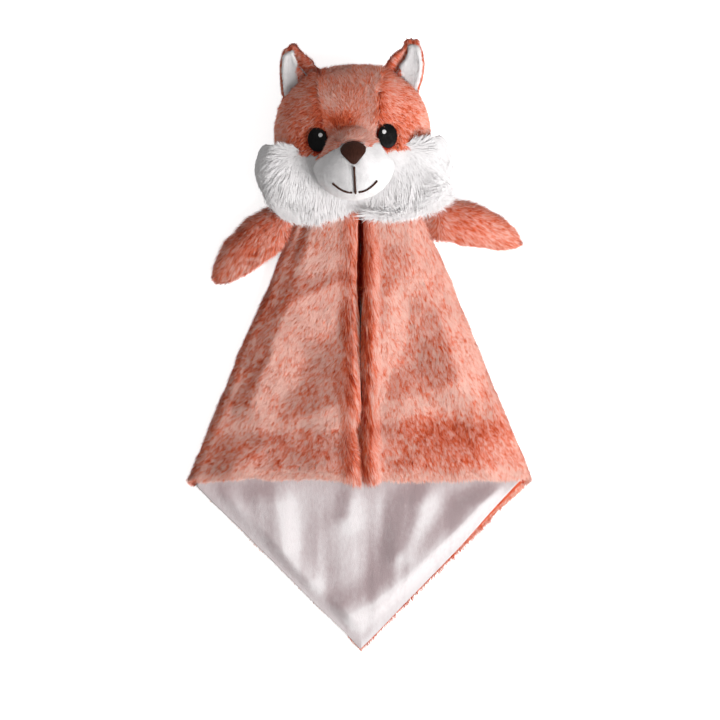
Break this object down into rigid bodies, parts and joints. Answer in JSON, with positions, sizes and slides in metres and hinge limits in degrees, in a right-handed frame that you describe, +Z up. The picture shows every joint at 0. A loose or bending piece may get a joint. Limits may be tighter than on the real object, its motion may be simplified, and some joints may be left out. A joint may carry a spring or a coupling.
{
  "type": "comfort blanket",
  "caption": "Plush comfort blanket folded like a kite, with a stuffed fox head, ears, satin-stitched face and stuffed arms sewn to its top corner.",
  "frame": {"origin": "middle of the toy's bounding box on the surface that it lies on", "axes": "+X is to the right in the picture (the toy's own left), +Y runs from the lower corner of the blanket to the ears, +Z points up out of the surface, towards the face"},
  "size_m": [0.2322, 0.4122, 0.0853],
  "materials": {
    "orange_plush": "orange-red long-pile plush with pale tips",
    "pale_velour": "pinkish-white short velour",
    "white_pile": "white long-pile plush",
    "brown_satin": "dark brown satin embroidery",
    "black_satin": "black satin embroidery",
    "white_thread": "white satin embroidery",
    "fibre_filling": "soft white fibre filling"
  },
  "bodies": {
    "blanket": {"blanket_plush": "orange_plush", "blanket_lining": "pale_velour"},
    "lapel_left": {"lapel_plush_left": "orange_plush", "lapel_lining_left": "pale_velour"},
    "lapel_right": {"lapel_plush_right": "orange_plush", "lapel_lining_right": "pale_velour"},
    "head": {"head_stuffing": "fibre_filling", "forehead_gusset": "orange_plush", "side_face_left": "orange_plush", "side_face_right": "orange_plush", "head_back": "orange_plush", "cheek_ruff_left": "white_pile", "cheek_ruff_right": "white_pile", "muzzle_stuffing": "fibre_filling", "muzzle_bridge": "orange_plush", "muzzle_left": "white_pile", "muzzle_right": "white_pile", "nose": "brown_satin", "mouth_line": "brown_satin", "smile_left": "brown_satin", "smile_right": "brown_satin", "eye_left": "black_satin", "eye_right": "black_satin", "eye_highlight_left": "white_thread", "eye_highlight_right": "white_thread"},
    "ear_left": {"ear_outer_left": "orange_plush", "ear_inner_left": "white_pile"},
    "ear_right": {"ear_outer_right": "orange_plush", "ear_inner_right": "white_pile"},
    "arm_left": {"arm_front_left": "orange_plush", "arm_back_left": "orange_plush", "arm_stuffing_left": "fibre_filling"},
    "arm_right": {"arm_front_right": "orange_plush", "arm_back_right": "orange_plush", "arm_stuffing_right": "fibre_filling"}
  },
  "joints": [
    {"name": "neck_nod", "type": "hinge", "parent": "blanket", "child": "head", "pos_m": [0, 0.09715, 0.02201], "axis": [1, 0, 0], "range_deg": [-36, 30]},
    {"name": "lapel_left", "type": "hinge", "parent": "blanket", "child": "lapel_left", "pos_m": [-0.00145, 0.07315, 0.01391], "axis": [-0.5021, -0.8648, 0], "range_deg": [0, 150]},
    {"name": "lapel_right", "type": "hinge", "parent": "blanket", "child": "lapel_right", "pos_m": [0.00145, 0.07315, 0.01391], "axis": [-0.5021, 0.8648, 0], "range_deg": [0, 150]},
    {"name": "arm_left", "type": "hinge", "parent": "blanket", "child": "arm_left", "pos_m": [-0.04358, 0.08465, 0.01261], "axis": [0.3827, 0.9239, 0], "range_deg": [0, 40]},
    {"name": "arm_right", "type": "hinge", "parent": "blanket", "child": "arm_right", "pos_m": [0.04358, 0.08465, 0.01261], "axis": [0.3827, -0.9239, 0], "range_deg": [0, 40]},
    {"name": "ear_left", "type": "hinge", "parent": "head", "child": "ear_left", "pos_m": [-0.04111, 0.16896, 0.03271], "axis": [0.6748, 0.738, 0], "range_deg": [-12, 12], "stiffness_Nm_per_rad": 0.02},
    {"name": "ear_right", "type": "hinge", "parent": "head", "child": "ear_right", "pos_m": [0.027, 0.17253, 0.03271], "axis": [0.7482, -0.6634, 0], "range_deg": [-12, 12], "stiffness_Nm_per_rad": 0.02}
  ]
}
